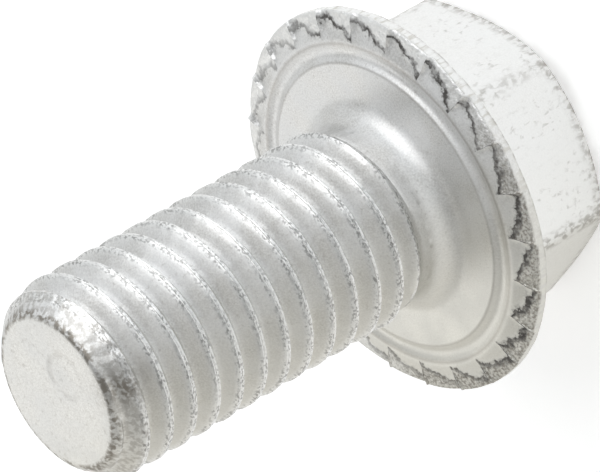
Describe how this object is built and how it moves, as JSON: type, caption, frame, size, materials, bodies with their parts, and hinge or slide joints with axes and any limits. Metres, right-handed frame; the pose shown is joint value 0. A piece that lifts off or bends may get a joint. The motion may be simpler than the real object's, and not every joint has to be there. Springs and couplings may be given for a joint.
{
  "type": "serrated hexagon flange bolt",
  "caption": "Hexagon bolt with a round flange, ratchet serrations under the flange and a rolled metric thread up to a chamfered flat tip.",
  "frame": {"origin": "centre of the bearing face under the flange, on the bolt's axis, where its length is measured from", "axes": "+Z along the shank towards the tip, +X square to one flat of the hexagon"},
  "size_m": [0.024, 0.024, 0.0344],
  "materials": {
    "zinc_plated_steel": "cold-forged and thread-rolled steel with a matt silver-grey zinc coat, scuffed dark on the serrations and crests"
  },
  "bodies": {
    "root": {"flange_bolt": "zinc_plated_steel"}
  },
  "joints": []
}
